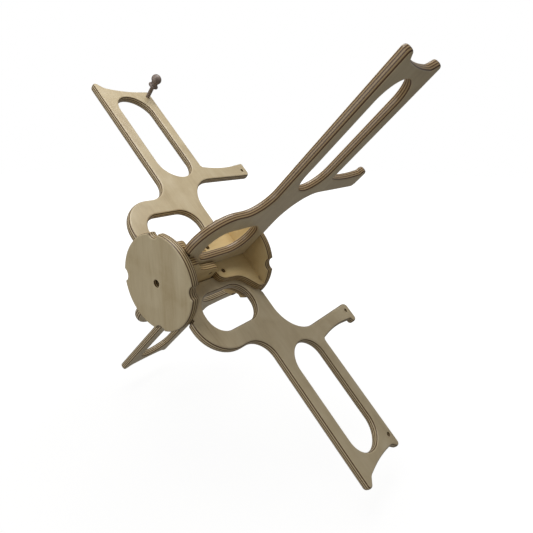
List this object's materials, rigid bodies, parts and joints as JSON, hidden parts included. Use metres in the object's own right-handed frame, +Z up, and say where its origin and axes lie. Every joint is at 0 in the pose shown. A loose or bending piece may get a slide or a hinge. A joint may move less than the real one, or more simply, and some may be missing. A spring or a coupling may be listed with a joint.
{
  "type": "skein winder",
  "caption": "Slotted plywood reel for winding yarn: horned arms with side branches plug in radially between two notched discs joined by wavy cheek plates; a turned peg stands in an arm.",
  "frame": {"origin": "mouth of the axle hole in the outer face of the front disc", "axes": "+X to the right seen from the front, +Y along the axle from the front disc to the back disc, +Z up; the four arms point at 45, 135, 225 and 315 degrees from +X towards +Z"},
  "size_m": [0.5006, 0.307, 0.5196],
  "materials": {
    "hub_ply": "sanded birch plywood, lightly oiled",
    "arm_ply": "sanded birch plywood, lightly oiled",
    "dowel_birch": "bare birch dowel",
    "peg_hardwood": "turned hardwood, dark, satin"
  },
  "bodies": {
    "hub": {"front_disc": "hub_ply", "back_disc": "hub_ply", "front_cheek_left": "hub_ply", "front_cheek_right": "hub_ply", "back_cheek_upper": "hub_ply", "back_cheek_lower": "hub_ply", "hub_dowels": "dowel_birch"},
    "arm_upper_right": {"arm_upper_right": "arm_ply"},
    "arm_upper_left": {"arm_upper_left": "arm_ply"},
    "arm_lower_left": {"arm_lower_left": "arm_ply"},
    "arm_lower_right": {"arm_lower_right": "arm_ply"},
    "peg": {"yarn_peg": "peg_hardwood"}
  },
  "joints": [
    {"name": "pull_out_upper_right", "type": "slide", "parent": "hub", "child": "arm_upper_right", "axis": [0.7071, 0, 0.7071], "range_m": [0, 0.057]},
    {"name": "pull_out_upper_left", "type": "slide", "parent": "hub", "child": "arm_upper_left", "axis": [-0.7071, 0, 0.7071], "range_m": [0, 0.057]},
    {"name": "pull_out_lower_left", "type": "slide", "parent": "hub", "child": "arm_lower_left", "axis": [-0.7071, 0, -0.7071], "range_m": [0, 0.057]},
    {"name": "pull_out_lower_right", "type": "slide", "parent": "hub", "child": "arm_lower_right", "axis": [0.7071, 0, -0.7071], "range_m": [0, 0.057]},
    {"name": "peg_slide", "type": "slide", "parent": "arm_upper_left", "child": "peg", "axis": [0.7071, 0, 0.7071], "range_m": [-0.017, 0.014]}
  ]
}
